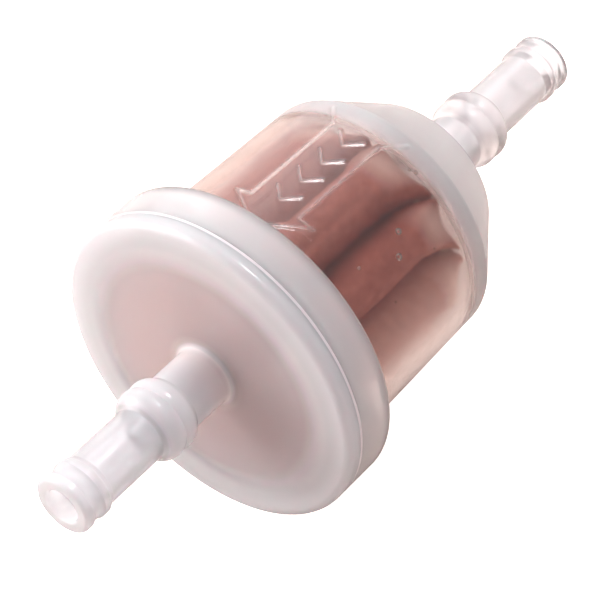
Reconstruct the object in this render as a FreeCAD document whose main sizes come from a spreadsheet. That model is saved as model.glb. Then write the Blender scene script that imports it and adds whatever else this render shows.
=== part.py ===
import FreeCAD, Part
import math
import os
import re

import Sketcher

# Spin-welded in-line fuel filter for a small engine, in millimetres.
# The X axis is the fuel passage and points the way the fuel flows: the inlet barb is at -X and the
# outlet barb at +X. The origin is the middle of the overall length. The moulded flow arrow is on
# top, at +Z.

SIZES = {
    "overall_length": 93.2,
    # hose barbs, both ends alike; each place is a distance in from the tip
    "port_radius": 2.2,
    "tube_radius": 3.5,
    "lip_radius": 3.85,
    "lip_end": 1.15,
    "groove_arc": 1.67,
    "bead_radius": 3.9,
    "bead_start": 3.0,
    "bead_end": 3.9,
    "bead_foot": 4.7,
    "collar_start": 13.4,
    "collar_edge": 13.9,
    "collar_edge_radius": 4.1,
    "collar_waist": 16.3,
    "collar_waist_radius": 4.5,
    "collar_arc": 2.1,
    "collar_back": 18.6,
    "collar_end": 19.1,
    "stem_radius": 3.75,
    "tip_round": 0.75,
    "port_round": 0.35,
    "stem_round": 0.9,
    # outlet cap
    "cap_face": 25.1,
    "cap_back": 27.15,
    "cap_radius": 20.8,
    "cap_round": 1.8,
    "tongue_radius": 18.2,
    "tongue_inner": 16.95,
    "tongue_end": 29.5,
    # weld between the cap and the bowl's flange
    "weld_end": 27.55,
    "weld_radius": 20.6,
    # bowl; each place is a distance in from the outlet tip
    "socket_radius": 18.25,
    "socket_end": 29.7,
    "flange_end": 32.9,
    "flange_radius": 20.8,
    "flange_round": 0.5,
    "body_radius": 17.42,
    "shoulder": 57.3,
    "shoulder_radius": 16.75,
    "shoulder_round": 0.9,
    "cone_end": 66.9,
    "cone_end_radius": 10.17,
    "cone_end_round": 2.2,
    "wall_radius": 15.5,
    "floor_start": 55.9,
    "floor_radius": 15.2,
    "floor_end": 64.6,
    "floor_end_radius": 8.9,
    # moulded flow arrow and chevrons on the bowl
    "mark_height": 0.2,
    "mark_root": 0.4,
    "mark_prism_top": 30.0,
    "stroke": 0.6,
    "arrow_tip": 33.4,
    "arrow_barb": 38.1,
    "arrow_barb_half": 5.8,
    "arrow_shaft_half": 3.75,
    "arrow_tail": 53.4,
    "arrow_tail_end": 56.1,
    "arrow_tail_half": 5.65,
    "chevron_front": 39.0,
    "chevron_pitch": 3.9,
    "chevron_depth": 1.9,
    "chevron_half": 1.8,
    # pleated paper element and its adhesive
    "paper_radius": 14.95,
    "paper_core": 6.2,
    "paper_thickness": 0.5,
    "paper_start": 28.35,
    "paper_end": 55.3,
    "pleat_count": 10,
    "pleat_turn": 14.6,
    "tip_half_angle": 12.5,
    "root_half_angle": 14.5,
    "seal_radius": 16.85,
    "seal_core": 4.6,
    "closure_start": 54.1,
    "closure_core": 4.0,
    "seam_width": 3.0,
    "seam_thickness": 0.35,
}

CHEVRONS = 4

document = FreeCAD.newDocument("fuel_filter")
sheet = document.addObject("Spreadsheet::Sheet", "sizes")
for row, (alias, number) in enumerate(SIZES.items(), start=1):
    sheet.set(f"A{row}", alias)
    sheet.set(f"B{row}", str(number))
    sheet.setAlias(f"B{row}", alias)
document.recompute()

ALIASES = re.compile(r"\b(" + "|".join(SIZES) + r")\b")


def bound(formula):
    """The formula with each size pointing at its cell of the sheet."""
    return ALIASES.sub(r"sizes.\1", formula)


def value(formula):
    """The number that a formula gives now."""
    return float(sheet.evalExpression(formula))


def along(place):
    """The X of a place measured in from the outlet tip."""
    return f"overall_length / 2 - ({place})"


def along_inlet(place):
    """The X of a place measured in from the inlet tip."""
    return f"({place}) - overall_length / 2"


def new_body(name):
    body = document.addObject("PartDesign::Body", name)
    body.Label = name
    return body


def origin_feature(body, role):
    return next(item for item in body.Origin.OriginFeatures if item.Role == role)


def new_sketch(body, name, plane):
    sketch = body.newObject("Sketcher::SketchObject", name)
    sketch.AttachmentSupport = [(origin_feature(body, plane), "")]
    sketch.MapMode = "FlatFace"
    return sketch


def arc_points(start, end, radius, side):
    """The middle of the arc between two points that bulges away from (+1) or towards (-1) y = 0."""
    chord = end - start
    across = FreeCAD.Vector(-chord.y, chord.x, 0).normalize()
    if across.y < 0:
        across = -across
    depth = radius - math.sqrt(radius**2 - chord.Length**2 / 4)
    return (start + end) / 2 + across * depth * side


def draw_outline(sketch, corners):
    """Draws a closed outline. A corner is (x, y) or (x, y, radius, side) when an arc leads on from it.
    Every corner and every radius is bound to the sheet."""
    points = [FreeCAD.Vector(value(corner[0]), value(corner[1]), 0) for corner in corners]
    ends = []
    for index, corner in enumerate(corners):
        start = points[index]
        end = points[(index + 1) % len(points)]
        if len(corner) == 2:
            edge = sketch.addGeometry(Part.LineSegment(start, end))
            ends.append((edge, 1, 2))
            continue
        middle = arc_points(start, end, value(corner[2]), corner[3])
        if (middle - start).cross(end - middle).z > 0:
            edge = sketch.addGeometry(Part.Arc(start, middle, end))
            ends.append((edge, 1, 2))
        else:
            edge = sketch.addGeometry(Part.Arc(end, middle, start))
            ends.append((edge, 2, 1))
        rule = sketch.addConstraint(Sketcher.Constraint("Radius", edge, value(corner[2])))
        sketch.setExpression(f"Constraints[{rule}]", bound(corner[2]))
    for index, (edge, first, last) in enumerate(ends):
        following, following_first, _ = ends[(index + 1) % len(ends)]
        sketch.addConstraint(Sketcher.Constraint("Coincident", edge, last, following, following_first))
        for kind, formula in (("DistanceX", corners[index][0]), ("DistanceY", corners[index][1])):
            rule = sketch.addConstraint(Sketcher.Constraint(kind, edge, first, value(formula)))
            sketch.setExpression(f"Constraints[{rule}]", bound(formula))


def revolve(body, name, corners):
    """A full turn of an outline about the fuel passage. The outline's y is the radius."""
    sketch = new_sketch(body, name + "_profile", "XY_Plane")
    draw_outline(sketch, corners)
    turned = body.newObject("PartDesign::Revolution", name)
    turned.Profile = sketch
    turned.ReferenceAxis = (sketch, ["H_Axis"])
    turned.Angle = 360
    document.recompute()
    return turned


def round_edges(body, name, base, radius, places):
    """Rounds the circular edges that lie at the given (x, radius) places."""
    wanted = [(value(x), value(edge_radius)) for x, edge_radius in places]
    found = []
    for number, edge in enumerate(base.Shape.Edges, start=1):
        curve = edge.Curve
        if not isinstance(curve, Part.Circle):
            continue
        for x, edge_radius in wanted:
            if abs(curve.Center.x - x) < 0.01 and abs(curve.Radius - edge_radius) < 0.01:
                found.append(f"Edge{number}")
    if len(found) < len(wanted):
        raise ValueError(f"{name}: {len(found)} edges for {len(wanted)} places")
    fillet = body.newObject("PartDesign::Fillet", name)
    fillet.Base = (base, found)
    fillet.setExpression("Radius", bound(radius))
    document.recompute()
    return fillet


def pad(body, name, corners, start, end):
    """A prism of an outline that lies across the passage, between two places."""
    sketch = new_sketch(body, name + "_section", "YZ_Plane")
    draw_outline(sketch, corners)
    sketch.setExpression("AttachmentOffset.Base.z", bound(along(end)))
    prism = body.newObject("PartDesign::Pad", name)
    prism.Profile = sketch
    prism.setExpression("Length", bound(f"({end}) - ({start})"))
    document.recompute()
    return prism


def repeat_round(body, name, feature):
    """Repeats a feature round the passage, once for each pleat."""
    pattern = body.newObject("PartDesign::PolarPattern", name)
    pattern.Originals = [feature]
    pattern.Axis = (origin_feature(body, "X_Axis"), [""])
    pattern.Angle = 360
    pattern.setExpression("Occurrences", bound("pleat_count"))
    body.Tip = pattern
    document.recompute()


def turn_to_pleats(body):
    """Turns a sub-part about the passage, from a pleat's tip on +Z to where the pleats lie."""
    body.Placement.Rotation = FreeCAD.Rotation(FreeCAD.Vector(-1, 0, 0), value("pleat_turn"))
    body.setExpression("Placement.Rotation.Angle", bound("pleat_turn * 1 deg"))


def barb_outline(place):
    """A hose barb from the port's mouth to the end of its stem, as distances in from its tip."""
    return [
        (place("0"), "port_radius"),
        (place("0"), "lip_radius"),
        (place("lip_end"), "lip_radius", "groove_arc", -1),
        (place("bead_start"), "bead_radius"),
        (place("bead_end"), "bead_radius"),
        (place("bead_foot"), "tube_radius"),
        (place("collar_start"), "tube_radius"),
        (place("collar_edge"), "collar_edge_radius", "collar_arc", 1),
        (place("collar_waist"), "collar_waist_radius", "collar_arc", 1),
        (place("collar_back"), "collar_edge_radius"),
        (place("collar_end"), "stem_radius"),
    ]


def make_cap():
    """The outlet half: barb, round cover and the tongue that the bowl's socket takes."""
    body = new_body("cap")
    outline = barb_outline(along) + [
        (along("cap_face"), "stem_radius"),
        (along("cap_face"), "cap_radius"),
        (along("cap_back"), "cap_radius"),
        (along("cap_back"), "tongue_radius"),
        (along("tongue_end"), "tongue_radius"),
        (along("tongue_end"), "tongue_inner"),
        (along("cap_back"), "tongue_inner"),
        (along("cap_back"), "port_radius"),
    ]
    shape = revolve(body, "cap_turned", outline)
    shape = round_edges(body, "cap_rim_round", shape, "cap_round", [(along("cap_face"), "cap_radius")])
    shape = round_edges(
        body, "outlet_stem_round", shape, "stem_round", [(along("cap_face"), "stem_radius")]
    )
    shape = round_edges(body, "outlet_tip_round", shape, "tip_round", [(along("0"), "lip_radius")])
    shape = round_edges(body, "outlet_port_round", shape, "port_round", [(along("0"), "port_radius")])
    return body


def make_bowl_shell():
    """The inlet half before its marks: barb, cone, draughted body and the flange with its socket."""
    body = new_body("bowl_shell")
    outline = barb_outline(along_inlet) + [
        (along("cone_end"), "stem_radius"),
        (along("cone_end"), "cone_end_radius"),
        (along("shoulder"), "shoulder_radius"),
        (along("flange_end"), "body_radius"),
        (along("flange_end"), "flange_radius"),
        (along("weld_end"), "flange_radius"),
        (along("weld_end"), "socket_radius"),
        (along("socket_end"), "socket_radius"),
        (along("socket_end"), "wall_radius"),
        (along("floor_start"), "floor_radius"),
        (along("floor_end"), "floor_end_radius"),
        (along("floor_end"), "port_radius"),
    ]
    shape = revolve(body, "bowl_turned", outline)
    shape = round_edges(
        body, "cone_end_round", shape, "cone_end_round", [(along("cone_end"), "cone_end_radius")]
    )
    shape = round_edges(
        body, "shoulder_round", shape, "shoulder_round", [(along("shoulder"), "shoulder_radius")]
    )
    shape = round_edges(
        body, "flange_round", shape, "flange_round", [(along("flange_end"), "flange_radius")]
    )
    shape = round_edges(
        body, "inlet_stem_round", shape, "stem_round", [(along("cone_end"), "stem_radius")]
    )
    shape = round_edges(body, "inlet_tip_round", shape, "tip_round", [(along_inlet("0"), "lip_radius")])
    shape = round_edges(body, "inlet_port_round", shape, "port_round", [(along_inlet("0"), "port_radius")])
    return body


def mark_polygons():
    """Closed strokes, seen from above: the arrow's outline in two mirrored halves, and the chevrons."""
    strokes = []
    for side in ("", "-"):
        def across(formula, side=side):
            return f"{side}({formula})"

        strokes.append([
            (along("arrow_tip"), across("0")),
            (along("arrow_barb"), across("arrow_barb_half")),
            (along("arrow_barb"), across("arrow_shaft_half")),
            (along("arrow_tail"), across("arrow_shaft_half")),
            (along("arrow_tail_end"), across("arrow_tail_half")),
            (along("arrow_tail_end"), across("arrow_tail_half - stroke * 1.4")),
            (along("arrow_tail + stroke * 0.4"), across("arrow_shaft_half - stroke")),
            (along("arrow_barb - stroke"), across("arrow_shaft_half - stroke")),
            (along("arrow_barb - stroke"), across("arrow_barb_half - stroke * 2")),
            (along("arrow_tip + stroke * 1.4"), across("0")),
        ])
    for number in range(CHEVRONS):
        front = f"chevron_front + chevron_pitch * {number}"
        strokes.append([
            (along(front), "0"),
            (along(f"{front} + chevron_depth"), "chevron_half"),
            (along(f"{front} + chevron_depth + stroke * 1.4"), "chevron_half"),
            (along(f"{front} + stroke * 1.4"), "0"),
            (along(f"{front} + chevron_depth + stroke * 1.4"), "-chevron_half"),
            (along(f"{front} + chevron_depth"), "-chevron_half"),
        ])
    return strokes


def make_marks():
    """The raised flow marks: upright prisms kept only where they lie in a thin skin on the bowl."""
    skin_places = {
        "mark_skin_outer": "mark_height",
        "mark_skin_inner": "-mark_root",
    }
    cones = []
    for name, offset in skin_places.items():
        cone = document.addObject("Part::Cone", name)
        cone.setExpression("Radius1", bound(f"body_radius + {offset}"))
        cone.setExpression("Radius2", bound(f"shoulder_radius + {offset}"))
        cone.setExpression("Height", bound("shoulder - flange_end"))
        cone.setExpression("Placement.Base.x", bound(along("flange_end")))
        cone.Placement.Rotation = FreeCAD.Rotation(FreeCAD.Vector(0, 1, 0), -90)
        cones.append(cone)
    skin = document.addObject("Part::Cut", "mark_skin")
    skin.Base, skin.Tool = cones
    prisms = []
    for number, corners in enumerate(mark_polygons(), start=1):
        sketch = document.addObject("Sketcher::SketchObject", f"mark_outline_{number}")
        draw_outline(sketch, corners)
        prism = document.addObject("Part::Extrusion", f"mark_prism_{number}")
        prism.Base = sketch
        prism.DirMode = "Normal"
        prism.setExpression("LengthFwd", bound("mark_prism_top"))
        prism.Solid = True
        prisms.append(prism)
    gathered = document.addObject("Part::MultiFuse", "mark_prisms")
    gathered.Shapes = prisms
    marks = document.addObject("Part::Common", "marks")
    marks.Base = gathered
    marks.Tool = skin
    return marks


def make_bowl():
    """The inlet half as moulded, with its raised flow marks."""
    bowl = document.addObject("Part::Fuse", "bowl")
    bowl.Label = "bowl"
    bowl.Base = make_bowl_shell()
    bowl.Tool = make_marks()
    return bowl


def polar(radius, angle):
    """A corner at a radius from the passage and an angle from +Z towards +Y."""
    return (f"({radius}) * sin(({angle}) * 1 deg)", f"({radius}) * cos(({angle}) * 1 deg)")


def pleat_inside():
    """The inside of one pleat's paper, from the root on one side round the tip to the other."""
    inner = "paper_radius - paper_thickness"
    core = "paper_core - paper_thickness"
    half = "180 / pleat_count"
    root = "root_half_angle - 57.3 * paper_thickness / paper_core"
    tip = "tip_half_angle - 57.3 * paper_thickness / paper_radius"
    return [
        polar(core, half),
        polar(core, root),
        polar(inner, tip) + (inner, 1),
        polar(inner, f"-({tip})"),
        polar(core, f"-({root})"),
        polar(core, f"-{half}"),
    ]


def make_paper():
    """The filter paper: one pleat's strip, repeated round the passage into a closed star."""
    body = new_body("filter_paper")
    half = "180 / pleat_count"
    outside = [
        polar("paper_core", f"-{half}"),
        polar("paper_core", "-root_half_angle"),
        polar("paper_radius", "-tip_half_angle") + ("paper_radius", 1),
        polar("paper_radius", "tip_half_angle"),
        polar("paper_core", "root_half_angle"),
        polar("paper_core", half),
    ]
    strip = pad(body, "pleat", outside + pleat_inside(), "paper_start", "paper_end")
    repeat_round(body, "pleats", strip)
    turn_to_pleats(body)
    return body


def make_closure():
    """The adhesive that closes the star's inlet end: it fills the inside of every pleat there."""
    body = new_body("end_seal")
    half = "180 / pleat_count"
    hub = [
        (along("closure_start"), "0"),
        (along("closure_start"), "closure_core"),
        (along("paper_end"), "closure_core"),
        (along("paper_end"), "0"),
    ]
    revolve(body, "closure_hub", hub)
    inner_edge = [
        polar("closure_core - paper_thickness", f"-{half}"),
        polar("closure_core - paper_thickness", half),
    ]
    lobe = pad(body, "closure_lobe", pleat_inside() + inner_edge, "closure_start", "paper_end")
    repeat_round(body, "closure_lobes", lobe)
    turn_to_pleats(body)
    return body


def make_seam():
    """The adhesive strip that joins the paper's two edges, on the inside of a pleat's tip."""
    body = new_body("paper_seam")
    tip = "-sqrt((paper_radius - paper_thickness)^2 - seam_width^2 / 4)"
    section = [
        ("-seam_width / 2", tip),
        ("seam_width / 2", tip),
        ("seam_width / 2", f"{tip} + seam_thickness"),
        ("-seam_width / 2", f"{tip} + seam_thickness"),
    ]
    pad(body, "seam_strip", section, "paper_start", "closure_start")
    turn_to_pleats(body)
    return body


def make_ring(name, start, end, radius, hole):
    """A plain ring round the fuel passage, between two places."""
    body = new_body(name)
    outline = [(along(start), hole), (along(start), radius), (along(end), radius), (along(end), hole)]
    revolve(body, name + "_turned", outline)
    return body


def export(parts):
    """Checks every object and each sub-part's shape, then writes the sub-parts."""
    document.recompute()
    for item in document.Objects:
        if "Invalid" in item.State or "Error" in item.State:
            raise ValueError(f"{item.Name} failed: {item.State}")
    os.makedirs("parts", exist_ok=True)
    for part in parts:
        shape = part.Shape
        if shape.isNull() or not shape.isValid() or not shape.Solids:
            raise ValueError(f"{part.Label} has no valid solid")
        shape.exportStep(f"parts/{part.Label}.step")
        box = shape.BoundBox
        print(
            f"{part.Label}: {len(shape.Solids)} solid(s), {shape.Volume:.1f} mm3, "
            f"x {box.XMin:.2f} {box.XMax:.2f}, y {box.YMin:.2f} {box.YMax:.2f}, "
            f"z {box.ZMin:.2f} {box.ZMax:.2f}"
        )


export([
    make_cap(),
    make_bowl(),
    make_ring("weld_bead", "cap_back", "weld_end", "weld_radius", "socket_radius"),
    make_paper(),
    make_seam(),
    make_closure(),
    make_ring("outlet_seal_ring", "cap_back", "paper_start", "seal_radius", "seal_core"),
])
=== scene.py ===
"""The looks of a spin-welded in-line fuel filter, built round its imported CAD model.

Metres throughout. The X axis is the fuel passage, and +X is the way the fuel flows. Distances called
"place" are measured in from the outlet barb's tip, in millimetres, as a fitter would with a rule.
"""

import math
import random

import bmesh
import bpy
import numpy as np
from mathutils import Matrix, Vector


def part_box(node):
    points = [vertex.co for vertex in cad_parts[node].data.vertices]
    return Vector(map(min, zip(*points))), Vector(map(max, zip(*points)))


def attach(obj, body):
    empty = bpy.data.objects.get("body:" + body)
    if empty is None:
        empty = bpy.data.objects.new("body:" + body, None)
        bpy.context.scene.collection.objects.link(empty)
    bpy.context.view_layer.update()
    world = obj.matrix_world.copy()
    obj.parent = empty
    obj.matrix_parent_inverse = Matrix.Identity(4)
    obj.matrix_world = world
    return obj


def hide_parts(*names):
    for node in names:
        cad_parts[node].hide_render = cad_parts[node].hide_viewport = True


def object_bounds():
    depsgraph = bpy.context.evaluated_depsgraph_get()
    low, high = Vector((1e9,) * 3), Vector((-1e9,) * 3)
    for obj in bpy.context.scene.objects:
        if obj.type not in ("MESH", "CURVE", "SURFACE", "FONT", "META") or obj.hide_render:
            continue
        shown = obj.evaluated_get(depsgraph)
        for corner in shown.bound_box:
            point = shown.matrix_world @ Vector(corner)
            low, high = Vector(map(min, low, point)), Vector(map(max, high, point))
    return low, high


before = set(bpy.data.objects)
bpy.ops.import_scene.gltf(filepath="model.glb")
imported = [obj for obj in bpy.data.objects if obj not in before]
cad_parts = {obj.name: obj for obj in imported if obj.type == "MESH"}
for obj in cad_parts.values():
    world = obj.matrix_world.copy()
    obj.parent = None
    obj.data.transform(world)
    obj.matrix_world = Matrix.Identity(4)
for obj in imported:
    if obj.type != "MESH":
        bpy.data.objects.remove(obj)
cad_low, cad_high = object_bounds()

MM = 0.001
ROOT = "root"

# ---- places and radii read from the frame -----------------------------------------------------
OUTLET_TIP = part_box("cap")[1].x
INLET_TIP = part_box("bowl")[0].x
LENGTH = (OUTLET_TIP - INLET_TIP) / MM
FLANGE_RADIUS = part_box("cap")[1].y / MM


def place_of(x):
    """The place, in millimetres from the outlet tip, of an X of the frame."""
    return (OUTLET_TIP - x) / MM


CAP_BACK = place_of(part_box("weld_bead")[1].x)
FLANGE_FRONT = place_of(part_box("weld_bead")[0].x)
WELD_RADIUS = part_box("weld_bead")[1].y / MM
PAPER_START = place_of(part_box("filter_paper")[1].x)
PAPER_END = place_of(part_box("filter_paper")[0].x)

# ---- the shells' outlines, in millimetres -----------------------------------------------------
# the barbs: radii of the bore, of the tube that the hose grips, and of the stem behind the collar
PORT = 2.2
TUBE = 3.5
STEM = 3.75

# the cap: where its face lies, and the tongue on its back
CAP_FACE = 25.1
TONGUE = 18.2
TONGUE_INSIDE = 16.95
TONGUE_END = 29.5

# the bowl outside, from the flange's back to the small end of the cone
FLANGE_BACK = 32.9
BODY_RADIUS = 17.42
SHOULDER = 57.3
SHOULDER_RADIUS = 16.75
CONE_END = 66.9
CONE_END_RADIUS = 10.17

# the bowl inside, from the socket for the tongue to the inlet chamber's end
SOCKET = 18.25
SOCKET_FLOOR = 29.7
HOLLOW_RADIUS = 15.5
HOLLOW_SHOULDER = 55.9
HOLLOW_SHOULDER_RADIUS = 15.2
HOLLOW_END = 64.6
HOLLOW_END_RADIUS = 8.9

# the rounding of a moulded edge that looks sharp
SHARP = 0.04


def swell(start, end, radius, side, steps=8):
    """The corners between the ends of an arc: side 1 swells away from the passage, -1 hollows."""
    start, end = Vector(start), Vector(end)
    run = end - start
    outwards = Vector((-run.y, run.x)).normalized() * side
    depth = math.sqrt(radius * radius - run.length_squared / 4)
    centre = (start + end) / 2 - outwards * depth
    half = math.asin(run.length / 2 / radius)
    corners = []
    for step in range(1, steps):
        turn = half * (2 * step / steps - 1)
        point = centre + (outwards * math.cos(turn) + run.normalized() * math.sin(turn)) * radius
        corners.append((point.x, point.y, 0))
    return corners


# a hose barb: (distance in from its tip, radius, rounding of that corner)
BARB = [
    (0.0, PORT, 0.35),
    (0.0, 3.85, 0.75),
    (1.15, 3.85, 0.15),
    *swell((1.15, 3.85), (3.0, 3.9), 1.67, -1),
    (3.0, 3.9, 0.15),
    (3.9, 3.9, 0.3),
    (4.7, TUBE, 0.5),
    (13.4, TUBE, 0.3),
    (13.9, 4.1, 0.15),
    *swell((13.9, 4.1), (16.3, 4.5), 2.1, 1),
    (16.3, 4.5, 0.1),
    *swell((16.3, 4.5), (18.6, 4.1), 2.1, 1),
    (18.6, 4.1, 0.15),
    (19.1, STEM, 0.5),
]


def rounded(corners, steps=6):
    """The corners of a closed outline, each replaced by an arc of its own radius, with a holding point a
    little way along each straight run so that smooth shading stays on the arcs."""
    points = []
    count = len(corners)
    for index, (x, y, radius) in enumerate(corners):
        here = Vector((x, y))
        before = Vector(corners[index - 1][:2]) - here
        after = Vector(corners[(index + 1) % count][:2]) - here
        angle = before.angle(after, math.pi)
        if radius <= 0 or angle > math.radians(179.5):
            points.append(here)
            continue
        reach = min(radius / math.tan(angle / 2), 0.48 * before.length, 0.48 * after.length)
        radius = reach * math.tan(angle / 2)
        start = here + before.normalized() * reach
        end = here + after.normalized() * reach
        centre = here + (before.normalized() + after.normalized()).normalized() * (
            radius / math.sin(angle / 2)
        )
        from_centre = start - centre
        turn = from_centre.angle_signed(end - centre)
        hold = 0.25 * reach
        points.append(start + before.normalized() * min(hold, 0.02 * before.length + 0.05))
        for step in range(steps + 1):
            spoke = from_centre.copy()
            spoke.rotate(Matrix.Rotation(-turn * step / steps, 2))
            points.append(centre + spoke)
        points.append(end + after.normalized() * min(hold, 0.02 * after.length + 0.05))
    return points


def divided(points, first, last, pitch):
    """Adds points to the runs of an outline whose X lies between two places, at a pitch."""
    result = []
    for index, point in enumerate(points):
        following = points[(index + 1) % len(points)]
        result.append(point)
        inside = first - 0.01 <= min(point.x, following.x) and max(point.x, following.x) <= last + 0.01
        number = int((following - point).length / pitch) if inside else 0
        for step in range(1, number):
            result.append(point.lerp(following, step / number))
    return result


def mesh_object(name, vertices, faces, material, smooth=True):
    """A mesh from plain lists, with one material, linked into the scene."""
    mesh = bpy.data.meshes.new(name)
    mesh.from_pydata([tuple(v) for v in vertices], [], faces)
    mesh.validate()
    mesh.update()
    piece = bpy.data.objects.new(name, mesh)
    bpy.context.scene.collection.objects.link(piece)
    mesh.materials.append(material)
    for polygon in mesh.polygons:
        polygon.use_smooth = smooth
    return piece


def grid_faces(rows, columns, closed_rows=False):
    """The faces of a grid of points whose columns close into a ring, and whose rows may."""
    faces = []
    for row in range(rows if closed_rows else rows - 1):
        below = (row + 1) % rows
        for column in range(columns):
            right = (column + 1) % columns
            faces.append((
                row * columns + column,
                row * columns + right,
                below * columns + right,
                below * columns + column,
            ))
    return faces


def turned(name, outline, angles, material, shift=None):
    """A closed outline of (place, radius) points turned about the passage. shift, where given, takes
    arrays of place, radius and angle and returns the radii to use instead."""
    places = np.array([p.x for p in outline])
    radii = np.array([p.y for p in outline])
    angles = np.asarray(angles)
    grid_place, grid_angle = np.meshgrid(places, angles, indexing="ij")
    grid_radius = np.repeat(radii[:, None], len(angles), axis=1)
    if shift is not None:
        grid_radius = shift(grid_place, grid_radius, grid_angle)
    vertices = np.stack(
        [
            OUTLET_TIP - grid_place * MM,
            grid_radius * np.sin(grid_angle) * MM,
            grid_radius * np.cos(grid_angle) * MM,
        ],
        axis=-1,
    ).reshape(-1, 3)
    piece = mesh_object(name, vertices, grid_faces(*grid_place.shape, closed_rows=True), material)
    face_outwards(piece)
    return piece


def face_outwards(piece):
    """Turns a closed mesh's faces round if its volume comes out negative."""
    mesh = piece.data
    volume = 0.0
    for polygon in mesh.polygons:
        corners = [mesh.vertices[v].co for v in polygon.vertices]
        for number in range(1, len(corners) - 1):
            volume += corners[0].dot(corners[number].cross(corners[number + 1]))
    if volume < 0:
        mesh.flip_normals()
        mesh.update()


def even_angles(count):
    """Angles spread evenly round a full turn, in radians."""
    return np.arange(count) * 2 * math.pi / count


# ---- materials --------------------------------------------------------------------------------
def new_material(name):
    """An empty node material, with its nodes and its links."""
    material = bpy.data.materials.new(name)
    material.use_nodes = True
    material.node_tree.nodes.clear()
    return material, material.node_tree.nodes, material.node_tree.links


def add_node(nodes, kind, **settings):
    """A node with its own settings, or else its inputs' values, set by name."""
    node = nodes.new(kind)
    for key, value in settings.items():
        if hasattr(node, key):
            setattr(node, key, value)
        else:
            node.inputs[key.replace("_", " ")].default_value = value
    return node


def add_ramp(nodes, stops):
    """A smooth colour ramp through (position, colour) stops."""
    ramp = nodes.new("ShaderNodeValToRGB")
    elements = ramp.color_ramp.elements
    while len(elements) < len(stops):
        elements.new(0.5)
    for element, (position, colour) in zip(elements, stops):
        element.position = position
        element.color = (*colour, 1)
    ramp.color_ramp.interpolation = "EASE"
    return ramp


def add_product(nodes, links, first, second):
    """The product of two sockets' values."""
    product = nodes.new("ShaderNodeMath")
    product.operation = "MULTIPLY"
    links.new(first, product.inputs[0])
    links.new(second, product.inputs[1])
    return product.outputs["Value"]


def add_radius(nodes, links, place):
    """The distance of each point from the passage's axis, in metres."""
    flat = nodes.new("ShaderNodeVectorMath")
    flat.operation = "MULTIPLY"
    flat.inputs[1].default_value = (0, 1, 1)
    length = nodes.new("ShaderNodeVectorMath")
    length.operation = "LENGTH"
    links.new(place.outputs["Object"], flat.inputs[0])
    links.new(flat.outputs["Vector"], length.inputs[0])
    return length.outputs["Value"]


def add_along(nodes, links, place, stops):
    """A colour that changes along the passage, through (place in millimetres, colour) stops."""
    split = nodes.new("ShaderNodeSeparateXYZ")
    links.new(place.outputs["Object"], split.inputs["Vector"])
    measure = nodes.new("ShaderNodeMapRange")
    measure.inputs["From Min"].default_value = OUTLET_TIP
    measure.inputs["From Max"].default_value = INLET_TIP
    links.new(split.outputs["X"], measure.inputs["Value"])
    ramp = add_ramp(nodes, [(position / LENGTH, colour) for position, colour in stops])
    links.new(measure.outputs["Result"], ramp.inputs["Fac"])
    return ramp.outputs["Color"]


def add_outwards(nodes, links, place, stops):
    """A grey that changes with the distance from the passage's axis, through (radius in millimetres,
    level) stops."""
    within = nodes.new("ShaderNodeMapRange")
    within.inputs["From Max"].default_value = FLANGE_RADIUS * MM
    links.new(add_radius(nodes, links, place), within.inputs["Value"])
    ramp = add_ramp(nodes, [(radius / FLANGE_RADIUS, (level,) * 3) for radius, level in stops])
    links.new(within.outputs["Result"], ramp.inputs["Fac"])
    return ramp.outputs["Color"]


NYLON_ROUGHNESS = 0.18
MARK_CLARITY = 0.86


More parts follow.
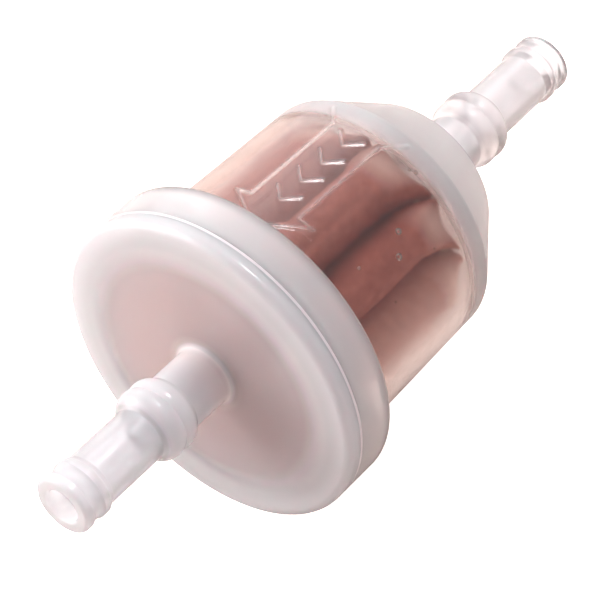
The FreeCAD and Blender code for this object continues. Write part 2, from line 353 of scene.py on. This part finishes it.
def nylon(name, tint, milk, clear, across=None, stain=None, marked=False, reach=0.0035, gloss=0.5):
    """Natural nylon: a glossy, slightly irregular skin over a milky inside. milk is the inside's
    scattering per metre, and stain what it soaks up, as a colour and a density. clear is the share of
    light that passes straight through the skin. tint and clear are one value, or a list of them against
    the place along the passage. across lists a factor on clear against the radius, and a marked nylon is a
    little cloudier where its marks are raised. reach is how far light spreads under the skin, in metres."""
    material, nodes, links = new_material(name)
    output = nodes.new("ShaderNodeOutputMaterial")
    shader = nodes.new("ShaderNodeBsdfPrincipled")
    shader.inputs["Subsurface Weight"].default_value = 1.0
    shader.inputs["Subsurface Radius"].default_value = (1.0, 0.85, 0.88)
    shader.inputs["Subsurface Scale"].default_value = reach
    shader.inputs["IOR"].default_value = 1.5
    shader.inputs["Specular IOR Level"].default_value = gloss
    place = nodes.new("ShaderNodeTexCoord")
    flow = add_node(nodes, "ShaderNodeTexNoise", Scale=260.0, Detail=3.0)
    links.new(place.outputs["Object"], flow.inputs["Vector"])

    if isinstance(tint, list):
        links.new(add_along(nodes, links, place, tint), shader.inputs["Base Color"])
    else:
        shader.inputs["Base Color"].default_value = (*tint, 1)

    if isinstance(clear, list):
        greys = [(position, (share,) * 3) for position, share in clear]
        clarity = add_along(nodes, links, place, greys)
        if across:
            clarity = add_product(nodes, links, clarity, add_outwards(nodes, links, place, across))
        if marked:
            frost = add_node(nodes, "ShaderNodeAttribute", attribute_name="frost")
            cloud = add_node(nodes, "ShaderNodeMapRange", To_Min=1.0, To_Max=MARK_CLARITY)
            links.new(frost.outputs["Fac"], cloud.inputs["Value"])
            clarity = add_product(nodes, links, clarity, cloud.outputs["Result"])
        links.new(clarity, shader.inputs["Transmission Weight"])
    else:
        shader.inputs["Transmission Weight"].default_value = clear

    # the skin's slight unevenness
    spread = nodes.new("ShaderNodeMapRange")
    spread.inputs["To Min"].default_value = 0.7 * NYLON_ROUGHNESS
    spread.inputs["To Max"].default_value = 1.3 * NYLON_ROUGHNESS
    links.new(flow.outputs["Fac"], spread.inputs["Value"])
    links.new(spread.outputs["Result"], shader.inputs["Roughness"])
    bump = nodes.new("ShaderNodeBump")
    bump.inputs["Strength"].default_value = 0.08
    bump.inputs["Distance"].default_value = 0.0004
    links.new(flow.outputs["Fac"], bump.inputs["Height"])
    links.new(bump.outputs["Normal"], shader.inputs["Normal"])
    links.new(shader.outputs["BSDF"], output.inputs["Surface"])

    # the milky inside
    scatter = nodes.new("ShaderNodeVolumeScatter")
    scatter.inputs["Color"].default_value = (1.0, 0.975, 0.975, 1)
    scatter.inputs["Density"].default_value = milk
    scatter.inputs["Anisotropy"].default_value = 0.5
    inside = scatter.outputs[0]
    if stain:
        soak = nodes.new("ShaderNodeVolumeAbsorption")
        soak.inputs["Color"].default_value = (*stain[0], 1)
        soak.inputs["Density"].default_value = stain[1]
        both = nodes.new("ShaderNodeAddShader")
        links.new(inside, both.inputs[0])
        links.new(soak.outputs[0], both.inputs[1])
        inside = both.outputs[0]
    links.new(inside, output.inputs["Volume"])
    return material


def matt(
    name,
    light,
    dark,
    scale,
    roughness,
    bump_strength,
    bump_distance,
    glue_and_light=None,
    painted_lit_side=None,
    thin_edge=None,
):
    """A fibrous or lumpy matt material in two tones, with a third where adhesive soaks it; on the paper
    this third tone is also painted light on lit flaps.
    A direction and a half width in metres, where given, make the side of the passage that the direction
    points to paler: painted light, as if that side were lit more. thin_edge, two radii in millimetres and
    a colour, fades the tones to that colour from the one radius to the other."""
    material, nodes, links = new_material(name)
    output = nodes.new("ShaderNodeOutputMaterial")
    shader = nodes.new("ShaderNodeBsdfPrincipled")
    place = nodes.new("ShaderNodeTexCoord")
    grain = add_node(nodes, "ShaderNodeTexNoise", Scale=scale, Detail=6.0, Roughness=0.6)
    links.new(place.outputs["Object"], grain.inputs["Vector"])
    ramp = nodes.new("ShaderNodeValToRGB")
    ramp.color_ramp.elements[0].position = 0.3
    ramp.color_ramp.elements[0].color = (*dark, 1)
    ramp.color_ramp.elements[1].position = 0.7
    ramp.color_ramp.elements[1].color = (*light, 1)
    links.new(grain.outputs["Fac"], ramp.inputs["Fac"])
    # painted light: paler on the side that the given direction points to
    if painted_lit_side:
        sideways = nodes.new("ShaderNodeVectorMath")
        sideways.operation = "DOT_PRODUCT"
        sideways.inputs[1].default_value = painted_lit_side[0]
        links.new(place.outputs["Object"], sideways.inputs[0])
        across = nodes.new("ShaderNodeMapRange")
        across.inputs["From Min"].default_value = -painted_lit_side[1]
        across.inputs["From Max"].default_value = painted_lit_side[1]
        links.new(sideways.outputs["Value"], across.inputs["Value"])
        both = nodes.new("ShaderNodeMix")
        both.inputs["Factor"].default_value = 0.6
        links.new(grain.outputs["Fac"], both.inputs["A"])
        links.new(across.outputs["Result"], both.inputs["B"])
        links.new(both.outputs["Result"], ramp.inputs["Fac"])
    colour = ramp.outputs["Color"]
    if thin_edge:
        thin = nodes.new("ShaderNodeMapRange")
        thin.inputs["From Min"].default_value = thin_edge[0] * MM
        thin.inputs["From Max"].default_value = thin_edge[1] * MM
        links.new(add_radius(nodes, links, place), thin.inputs["Value"])
        paler = nodes.new("ShaderNodeMix")
        paler.data_type = "RGBA"
        paler.inputs["B"].default_value = (*thin_edge[2], 1)
        links.new(thin.outputs["Result"], paler.inputs["Factor"])
        links.new(colour, paler.inputs["A"])
        colour = paler.outputs["Result"]
    # the third tone: adhesive, and on the paper also painted light
    if glue_and_light:
        glue_and_lit_flaps = nodes.new("ShaderNodeAttribute")
        glue_and_lit_flaps.attribute_name = "glue_and_lit_flaps"
        mix = nodes.new("ShaderNodeMix")
        mix.data_type = "RGBA"
        mix.inputs["B"].default_value = (*glue_and_light, 1)
        links.new(glue_and_lit_flaps.outputs["Fac"], mix.inputs["Factor"])
        links.new(colour, mix.inputs["A"])
        colour = mix.outputs["Result"]
    links.new(colour, shader.inputs["Base Color"])
    shader.inputs["Roughness"].default_value = roughness
    bump = nodes.new("ShaderNodeBump")
    bump.inputs["Strength"].default_value = bump_strength
    bump.inputs["Distance"].default_value = bump_distance
    links.new(grain.outputs["Fac"], bump.inputs["Height"])
    links.new(bump.outputs["Normal"], shader.inputs["Normal"])
    links.new(shader.outputs["BSDF"], output.inputs["Surface"])
    return material


CLEAN = (0.955, 0.95, 0.975)
# painted light: the pink that the paper inside throws on the body's wall, paler on the cone
PAPER_GLOW_PINK = (0.90, 0.785, 0.75)
PALE_PAPER_GLOW = (0.955, 0.92, 0.925)
# painted light: the compound's pink glow shining through the stem's root
ROOT_GLOW_PINK = (0.96, 0.86, 0.84)
# painted shade: the weld flash greyed for the shade of the crease it sits in
CREASE_SHADE_GREY = (0.84, 0.79, 0.80)
# The bowl's pink over the paper and on the cone is painted light from the paper inside.
BOWL_NYLON = nylon(
    "bowl_nylon",
    tint=[(31.0, CLEAN), (34.0, PAPER_GLOW_PINK), (54.0, PAPER_GLOW_PINK), (57.0, PALE_PAPER_GLOW), (68.0, CLEAN)],
    milk=30.0,
    clear=[(31.0, 0.5), (34.0, 1.0), (54.0, 1.0), (55.4, 0.6), (66.0, 0.5), (80.0, 0.75)],
    stain=((0.80, 0.60, 0.47), 60.0),
    marked=True,
    gloss=0.3,
)
# The pink near the stem's root is painted light: the glow of the compound behind shining through the
# nylon.
CAP_NYLON = nylon(
    "cap_nylon",
    tint=[(0.0, CLEAN), (19.0, CLEAN), (24.0, ROOT_GLOW_PINK), (24.9, ROOT_GLOW_PINK), (25.1, CLEAN)],
    milk=300.0,
    clear=[(0.0, 0.55), (5.0, 0.82), (12.0, 0.82), (19.0, 0.45), (24.0, 0.3), (24.8, 0.4), (25.1, 1.0)],
    across=[(0.0, 1.0), (3.8, 1.0), (4.3, 0.82), (5.6, 0.87), (14.0, 0.87), (17.5, 0.6), (20.0, 0.5)],
    reach=0.002,
    gloss=0.35,
)
# The weld flash's grey is painted shade in the crease between cap and bowl.
WELD_NYLON = nylon(
    "weld_nylon",
    tint=CREASE_SHADE_GREY,
    milk=300.0,
    clear=0.05,
    reach=0.0001,
)
# The paper's pale third tone stands for adhesive, and also for painted light on the lit flaps of its
# drawn-in end.
PAPER = matt(
    "filter_paper",
    light=(0.66, 0.28, 0.22),
    dark=(0.49, 0.18, 0.15),
    scale=900.0,
    roughness=0.85,
    bump_strength=0.3,
    bump_distance=0.0002,
    glue_and_light=(0.92, 0.76, 0.69),
)
# The compound's paler side, towards the front lamp, is painted light.
COMPOUND = matt(
    "sealing_compound",
    light=(0.92, 0.45, 0.35),
    dark=(0.44, 0.085, 0.045),
    scale=120.0,
    roughness=0.6,
    bump_strength=0.2,
    bump_distance=0.0003,
    painted_lit_side=((0, -0.95, 0.3), 0.014),
    thin_edge=(10.5, 18.0, (0.89, 0.65, 0.62)),
)
ADHESIVE = matt(
    "hot_melt",
    light=(0.70, 0.52, 0.38),
    dark=(0.60, 0.42, 0.30),
    scale=300.0,
    roughness=0.4,
    bump_strength=0.3,
    bump_distance=0.0003,
)

# ---- shells -----------------------------------------------------------------------------------
ARROW_TIP = 33.8
ARROW_BARB = 38.1
ARROW_BARB_HALF = 5.55
ARROW_SHAFT_HALF = 3.47
ARROW_TAIL = 53.4
ARROW_TAIL_END = 56.0
ARROW_TAIL_HALF = 5.4
CHEVRON_FRONT = 39.0
CHEVRON_PITCH = 3.9
CHEVRON_DEPTH = 1.9
CHEVRON_HALF = 1.75
CHEVRONS = 4
STROKE_HALF = 0.25
STROKE_EDGE = 0.16
MARK_HEIGHT = 0.15
MARK_SPREAD = math.radians(24)


def mark_strokes():
    """Centre lines of the raised strokes, as (place, sideways) pairs on the bowl's top."""
    strokes = []
    for side in (1, -1):
        line = [
            (ARROW_TIP, 0),
            (ARROW_BARB, side * ARROW_BARB_HALF),
            (ARROW_BARB, side * ARROW_SHAFT_HALF),
            (ARROW_TAIL, side * ARROW_SHAFT_HALF),
            (ARROW_TAIL_END, side * ARROW_TAIL_HALF),
        ]
        strokes.extend(zip(line, line[1:]))
        for number in range(CHEVRONS):
            front = CHEVRON_FRONT + CHEVRON_PITCH * number
            strokes.append(((front, 0), (front + CHEVRON_DEPTH, side * CHEVRON_HALF)))
    return strokes


def mark_lift(places, radii, angles):
    """How far, from 0 to 1, a stroke of the arrow or a chevron is raised at each point of the bowl."""
    sideways = radii * np.sin(angles)
    distance = np.full(places.shape, 10.0)
    for (start_place, start_side), (end_place, end_side) in mark_strokes():
        run = np.array([end_place - start_place, end_side - start_side])
        along = ((places - start_place) * run[0] + (sideways - start_side) * run[1]) / (run @ run)
        along = np.clip(along, 0, 1)
        away = np.hypot(places - start_place - along * run[0], sideways - start_side - along * run[1])
        distance = np.minimum(distance, away)
    lift = np.clip((STROKE_HALF + STROKE_EDGE - distance) / (2 * STROKE_EDGE), 0, 1)
    on_top = (np.cos(angles) > math.cos(MARK_SPREAD)) & (radii > SHOULDER_RADIUS - 0.15)
    on_body = (places > FLANGE_BACK + 0.2) & (places < SHOULDER - 0.3)
    return np.where(on_top & on_body, lift * lift * (3 - 2 * lift), 0)


def raise_marks(places, radii, angles):
    """The bowl's radii with the arrow and the chevrons standing proud."""
    return radii + MARK_HEIGHT * mark_lift(places, radii, angles)


def store(piece, name, values):
    """Keeps a number for each vertex of a piece, for its material to read."""
    attribute = piece.data.attributes.new(name, "FLOAT", "POINT")
    attribute.data.foreach_set("value", np.asarray(values, dtype=np.float32).ravel())


def make_cap():
    """The outlet half: its barb, the round cover, and the tongue that enters the bowl's socket."""
    outline = BARB + [
        (CAP_FACE, STEM, 0.9),
        (CAP_FACE, FLANGE_RADIUS, 1.8),
        (CAP_BACK, FLANGE_RADIUS, SHARP),
        (CAP_BACK, TONGUE, 0.1),
        (TONGUE_END, TONGUE, 0.3),
        (TONGUE_END, TONGUE_INSIDE, 0.3),
        (CAP_BACK, TONGUE_INSIDE, 0.3),
        (CAP_BACK, PORT, 0.4),
    ]
    piece = turned("cap_shell", rounded(outline), even_angles(192), CAP_NYLON)
    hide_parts("cap")
    return piece


def make_bowl():
    """The inlet half: its barb, the cone, the body with its raised marks, and the flange."""
    barb = [(LENGTH - place, radius, rounding) for place, radius, rounding in BARB]
    outline = barb + [
        (CONE_END, STEM, 0.9),
        (CONE_END, CONE_END_RADIUS, 2.2),
        (SHOULDER, SHOULDER_RADIUS, 0.9),
        (FLANGE_BACK, BODY_RADIUS, 0.2),
        (FLANGE_BACK, FLANGE_RADIUS, 0.5),
        (FLANGE_FRONT, FLANGE_RADIUS, SHARP),
        (FLANGE_FRONT, SOCKET, 0.1),
        (SOCKET_FLOOR, SOCKET, 0.1),
        (SOCKET_FLOOR, HOLLOW_RADIUS, 0.3),
        (HOLLOW_SHOULDER, HOLLOW_SHOULDER_RADIUS, 0.6),
        (HOLLOW_END, HOLLOW_END_RADIUS, 1.0),
        (HOLLOW_END, PORT, 0.4),
    ]
    points = divided(rounded(outline), FLANGE_BACK, SHOULDER, 0.2)
    fine = np.linspace(-MARK_SPREAD, MARK_SPREAD, 80, endpoint=False)
    coarse = np.linspace(MARK_SPREAD, 2 * math.pi - MARK_SPREAD, 140, endpoint=False)
    angles = np.concatenate([fine, coarse])
    piece = turned("bowl_shell", points, angles, BOWL_NYLON, raise_marks)
    places, turns = np.meshgrid([p.x for p in points], angles, indexing="ij")
    radii = np.repeat(np.array([[p.y] for p in points]), len(angles), axis=1)
    store(piece, "frost", mark_lift(places, radii, turns))
    add_bubbles(piece)
    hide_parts("bowl")
    return piece


# bubbles left in the bowl's wall: (place, degrees from the top, radius in millimetres)
BUBBLES = [
    (45.1, 48.9, 0.45), (47.1, 41.2, 0.42), (39.5, 41.0, 0.22), (54.5, 28.6, 0.3), (54.1, 26.0, 0.2),
    (41.5, 62.0, 0.12), (50.2, 57.0, 0.12), (36.4, -25.0, 0.15), (48.0, -48.0, 0.2), (43.0, 118.0, 0.2),
    (51.5, 171.0, 0.25), (38.0, 214.0, 0.18), (47.0, 262.0, 0.22), (35.5, 296.0, 0.15),
]
BUBBLE_DEPTH = 0.95


def add_bubbles(piece):
    """Cuts the bubbles into the wall as small round hollows, their faces turned inwards."""
    form = bmesh.new()
    form.from_mesh(piece.data)
    for place, turn, radius in BUBBLES:
        run = (place - FLANGE_BACK) / (SHOULDER - FLANGE_BACK)
        out = BODY_RADIUS + (SHOULDER_RADIUS - BODY_RADIUS) * run - BUBBLE_DEPTH
        angle = math.radians(turn)
        centre = Vector((
            OUTLET_TIP - place * MM, out * math.sin(angle) * MM, out * math.cos(angle) * MM
        ))
        ball = bmesh.ops.create_icosphere(
            form, subdivisions=2, radius=radius * MM, matrix=Matrix.Translation(centre)
        )
        skin = list({face for vertex in ball["verts"] for face in vertex.link_faces})
        bmesh.ops.reverse_faces(form, faces=skin)
        for face in skin:
            face.smooth = True
    form.to_mesh(piece.data)
    form.free()


WELD_GAP = 0.01
WELD_BULGE = 0.19


def make_weld():
    """The weld's flash: a thin ring that bulges and wavers a little in the crease."""
    front, back = CAP_BACK + WELD_GAP, FLANGE_FRONT - WELD_GAP
    inside, outside = SOCKET + 0.1, WELD_RADIUS + WELD_BULGE
    outline = [
        (front, inside, 0.05),
        (front, outside, SHARP),
        (back, outside, SHARP),
        (back, inside, 0.05),
    ]

    def waver(places, radii, angles):
        wave = 0.015 * np.sin(7 * angles + 0.6) + 0.01 * np.sin(17 * angles)
        return radii - np.where(radii > WELD_RADIUS, 0.03 + wave, 0)

    piece = turned("weld_flash", rounded(outline, steps=3), even_angles(192), WELD_NYLON, waver)
    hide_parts("weld_bead")
    return piece


# ---- the paper element ------------------------------------------------------------------------
# the valleys between the pleats, in degrees from the top: no two pleats are quite the same
VALLEYS = [-4.5, 35.5, 68.0, 104.0, 141.5, 176.0, 213.5, 248.0, 285.5, 320.0]
PLEATS = len(VALLEYS)
POINTS_ACROSS = 44
PAPER_THICKNESS = 0.45
RIDGE_RADIUS = 15.0
VALLEY_RADIUS = 6.3

# the pleats are drawn in over the last stretch, where their valleys come up and their folds fade out
CLOSING = 6.0
DRAWN_END = 55.6
DRAWN_START = DRAWN_END - CLOSING
DRAWN_VALLEY_RADIUS = 12.4
FOLDS_END = PAPER_END - 6


def pleats_of(seed):
    """For each pleat: its two valleys' angles, its ridge's and root's radius, and where across it a
    soft fold runs, how deep and how wide."""
    chance = random.Random(seed)
    pleats = []
    for number, valley in enumerate(VALLEYS):
        following = VALLEYS[(number + 1) % PLEATS] + (360 if number == PLEATS - 1 else 0)
        pleats.append((
            math.radians(valley),
            math.radians(following),
            RIDGE_RADIUS - chance.uniform(0, 0.25),
            VALLEY_RADIUS + chance.uniform(-0.4, 0.4),
            0.3 + chance.uniform(-0.15, 0.15),
            chance.uniform(0.7, 1.5),
            chance.uniform(0.1, 0.16),
        ))
    return pleats


def drawn_at(place):
    """How far, from 0 to 1, the pleats are drawn in towards their closed end."""
    return min(max((place - DRAWN_START) / CLOSING, 0), 1)


def paper_point(pleats, number, across, place, inwards=0.0):
    """A point of one pleat's paper, across it from -1 to 1, or a distance inwards from there."""
    first, second, ridge, root, fold_at, fold_depth, fold_width = pleats[number]
    drawn = drawn_at(place)
    faded = min(max((FOLDS_END - place) / (FOLDS_END - PAPER_START), 0), 1) ** 0.6

    # a broad ridge between two narrow valleys, which dips in its middle where it is drawn in
    wide = 1 - abs(across) ** (3.4 + 6 * drawn)
    reach = ridge - 0.2 * drawn - 2.2 * drawn ** 3 * (1 - across * across)
    low = root + (DRAWN_VALLEY_RADIUS - root) * drawn ** 1.5
    fold = fold_depth * faded * math.exp(-(((across - fold_at) / fold_width) ** 2))
    radius = low + (reach - low) * wide - fold - inwards

    # the paper's slight waves, and its twist towards the closed end
    radius += 0.08 * math.sin(place / 3.1 + 5 * number + 2 * across)
    angle = first + (second - first) * (1 + across) / 2
    angle += math.radians(7) * drawn ** 2.5
    angle += math.radians(0.7) * math.sin(place / 7 + 2.4 * number)
    return OUTLET_TIP - place * MM, radius * math.sin(angle) * MM, radius * math.cos(angle) * MM


def make_paper(pleats):
    """The pleated paper, thick on its inner side, and paler at its drawn-in end, where it is soaked with
    adhesive and where light is painted on the lit middles of its pleats.
    """
    straight = np.linspace(PAPER_START, DRAWN_START, 26)
    drawn_in = np.linspace(DRAWN_START, DRAWN_END, 17)[1:]
    places = [*straight, *drawn_in]
    vertices, glue_and_lit_flaps = [], []
    for place in places:
        # paler in the middle of each pleat at the drawn-in end: adhesive, and painted light on the flaps
        # that face the light
        glue_and_light = min(2.1 * drawn_at(place), 1)
        for number in range(PLEATS):
            for step in range(POINTS_ACROSS):
                across = math.sin(math.pi / 2 * (2 * step / POINTS_ACROSS - 1))
                vertices.append(paper_point(pleats, number, across, place))
                glue_and_lit_flaps.append(glue_and_light * max(0, 1 - (abs(across + 0.1) / 0.75) ** 2))
    faces = grid_faces(len(places), PLEATS * POINTS_ACROSS)
    piece = mesh_object("pleated_paper", vertices, faces, PAPER)
    store(piece, "glue_and_lit_flaps", glue_and_lit_flaps)
    solid = piece.modifiers.new("thickness", "SOLIDIFY")
    solid.thickness = PAPER_THICKNESS * MM
    solid.offset = -1
    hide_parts("filter_paper")
    return piece


SEAM_PLEAT = 5
SEAM_WIDTH = 0.3
SEAM_THICKNESS = 0.3


def make_seam(pleats):
    """The adhesive strip inside one pleat, where the paper's two edges meet."""
    places = np.linspace(PAPER_START + 0.2, DRAWN_START, 40)
    shares = np.linspace(-SEAM_WIDTH, SEAM_WIDTH, 7) - 0.1
    vertices = []
    for place in places:
        ends = 1 - 0.25 * abs(2 * (place - places[0]) / (places[-1] - places[0]) - 1) ** 12
        under = PAPER_THICKNESS + 0.03
        for across in shares:
            vertices.append(paper_point(pleats, SEAM_PLEAT, across * ends, place, under))
        for number, across in enumerate(reversed(shares)):
            lump = SEAM_THICKNESS * (0.7 + 0.3 * math.sin(1.9 * place + number))
            rim = 0.35 if number in (0, len(shares) - 1) else 1.0
            vertices.append(paper_point(pleats, SEAM_PLEAT, across * ends, place, under + lump * rim))
    columns = 2 * len(shares)
    faces = grid_faces(len(places), columns)
    faces.append(tuple(range(columns)))
    faces.append(tuple(reversed(range(len(vertices) - columns, len(vertices)))))
    piece = mesh_object("paper_seam_adhesive", vertices, faces, ADHESIVE)
    face_outwards(piece)
    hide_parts("paper_seam")
    return piece


SEAL_RADIUS = 16.85
SEAL_HOLE = 3.0


def make_seal_disc():
    """The sealing compound between the cap and the pleats, which sink a little way into it."""
    front, back = CAP_BACK + 0.02, PAPER_START + 0.1
    outline = [
        (front, SEAL_HOLE, 0.3),
        (front, SEAL_RADIUS, 0.3),
        (back, SEAL_RADIUS, 0.4),
        (back, SEAL_HOLE, 0.3),
    ]
    piece = turned("seal_disc", rounded(outline), even_angles(128), COMPOUND)
    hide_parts("outlet_seal_ring")
    return piece


CLOSURE_RADIUS = 12.3
CLOSURE_CENTRE = 0.02


def make_closure():
    """The adhesive plug that fills the middle of the drawn-in pleats."""
    front, back = DRAWN_END - 1.4, DRAWN_END + 0.1
    outline = [
        (front, CLOSURE_CENTRE, 0.0),
        (front, CLOSURE_RADIUS, 0.4),
        (back, CLOSURE_RADIUS, 0.6),
        (back, CLOSURE_CENTRE, 0.0),
    ]
    piece = turned("closure_adhesive", rounded(outline), even_angles(96), ADHESIVE)
    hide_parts("end_seal")
    return piece


# ---- stage ------------------------------------------------------------------------------------
CAMERA_AZIMUTH = math.radians(127.9)
CAMERA_ELEVATION = math.radians(46.36)
CAMERA_DISTANCE = 0.35346
CAMERA_LEFT = 0.00237
CAMERA_DOWN = 0.00381
LENS = 178.8
BRIGHT_SIDE = (-0.37, 0.48, 0.79)
BRIGHT_LIGHT = (0.54, 0.50, 0.54)
DIM_LIGHT = (0.20, 0.13, 0.14)


def view_axes(azimuth, elevation):
    """Where right, up and back lie for a camera at an azimuth and an elevation, in radians."""
    back = Vector((
        math.sin(azimuth) * math.cos(elevation),
        -math.cos(azimuth) * math.cos(elevation),
        math.sin(elevation),
    ))
    right = Vector((math.cos(azimuth), math.sin(azimuth), 0))
    return right, back.cross(right), back


def make_camera():
    """A long lens, set a little left of and below the line through the object's middle."""
    right, up, back = view_axes(CAMERA_AZIMUTH, CAMERA_ELEVATION)
    data = bpy.data.cameras.new("camera")
    data.lens = LENS
    data.sensor_width = 36.0
    data.clip_start = 0.01
    data.clip_end = 10
    camera = bpy.data.objects.new("camera", data)
    bpy.context.scene.collection.objects.link(camera)
    camera.location = back * CAMERA_DISTANCE - right * CAMERA_LEFT - up * CAMERA_DOWN
    camera.rotation_mode = "QUATERNION"
    camera.rotation_quaternion = Matrix((right, up, back)).transposed().to_quaternion()
    bpy.context.scene.camera = camera


FLOOR_GAP = 0.0002
FLOOR_HALF = 3.0


def make_floor():
    """A plain pale floor. It looks white, also through the nylon, and gives back less light than that."""
    material, nodes, links = new_material("pale_floor")
    output = nodes.new("ShaderNodeOutputMaterial")
    shader = nodes.new("ShaderNodeBsdfPrincipled")
    shader.inputs["Base Color"].default_value = (0.68, 0.58, 0.52, 1)
    shader.inputs["Roughness"].default_value = 1.0
    shader.inputs["Specular IOR Level"].default_value = 0.0
    shader.inputs["Emission Color"].default_value = (1, 1, 1, 1)
    path = nodes.new("ShaderNodeLightPath")
    seen = nodes.new("ShaderNodeMath")
    seen.operation = "MAXIMUM"
    links.new(path.outputs["Is Camera Ray"], seen.inputs[0])
    links.new(path.outputs["Is Transmission Ray"], seen.inputs[1])
    links.new(seen.outputs["Value"], shader.inputs["Emission Strength"])
    links.new(shader.outputs["BSDF"], output.inputs["Surface"])
    level = cad_low.z - FLOOR_GAP
    half = FLOOR_HALF
    corners = [(-half, -half, level), (half, -half, level), (half, half, level), (-half, half, level)]
    floor = mesh_object("floor", corners, [(0, 1, 2, 3)], material, smooth=False)


def make_lamp(name, direction, distance, size, power, colour):
    """A round lamp that faces the object's middle, from a distance in metres and with a power in watts."""
    data = bpy.data.lights.new(name, "AREA")
    data.shape = "DISK"
    data.size = size
    data.energy = power
    data.color = colour
    lamp = bpy.data.objects.new(name, data)
    bpy.context.scene.collection.objects.link(lamp)
    toward = Vector(direction).normalized()
    lamp.location = toward * distance
    lamp.rotation_mode = "QUATERNION"
    lamp.rotation_quaternion = toward.to_track_quat("Z", "Y")


def make_world():
    """Soft studio surroundings, brighter on the side that the camera's left hand points to."""
    world = bpy.data.worlds.new("studio")
    bpy.context.scene.world = world
    world.use_nodes = True
    nodes, links = world.node_tree.nodes, world.node_tree.links
    toward = nodes.new("ShaderNodeTexCoord")
    side = nodes.new("ShaderNodeVectorMath")
    side.operation = "DOT_PRODUCT"
    side.inputs[1].default_value = BRIGHT_SIDE
    links.new(toward.outputs["Generated"], side.inputs[0])
    level = nodes.new("ShaderNodeMapRange")
    level.inputs["From Min"].default_value = -0.9
    level.inputs["From Max"].default_value = 0.9
    links.new(side.outputs["Value"], level.inputs["Value"])
    mix = nodes.new("ShaderNodeMix")
    mix.data_type = "RGBA"
    mix.inputs["A"].default_value = (*DIM_LIGHT, 1)
    mix.inputs["B"].default_value = (*BRIGHT_LIGHT, 1)
    links.new(level.outputs["Result"], mix.inputs["Factor"])
    links.new(mix.outputs["Result"], nodes["Background"].inputs["Color"])


make_camera()
make_world()
make_floor()
make_lamp("key", (-0.3, 0.08, 0.95), 0.6, 0.12, 1.2, (0.95, 0.98, 1.0))
make_lamp("soft", (-0.3, -0.5, 0.81), 1.1, 1.3, 5.7, (0.99, 0.98, 1.0))
make_lamp("front", (0.6, -0.75, 0.28), 0.22, 0.2, 0.6, (1.0, 0.98, 1.0))
make_lamp("back", (-0.75, -0.6, 0.35), 0.6, 0.6, 0.95, (0.99, 0.98, 1.0))
bpy.context.scene.view_settings.view_transform = "Standard"
bpy.context.scene.cycles.volume_bounces = 12
bpy.context.scene.cycles.max_bounces = 32
bpy.context.scene.cycles.transmission_bounces = 24

star = pleats_of(seed=4)
for piece in (
    make_cap(),
    make_bowl(),
    make_weld(),
    make_paper(star),
    make_seam(star),
    make_seal_disc(),
    make_closure(),
):
    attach(piece, ROOT)
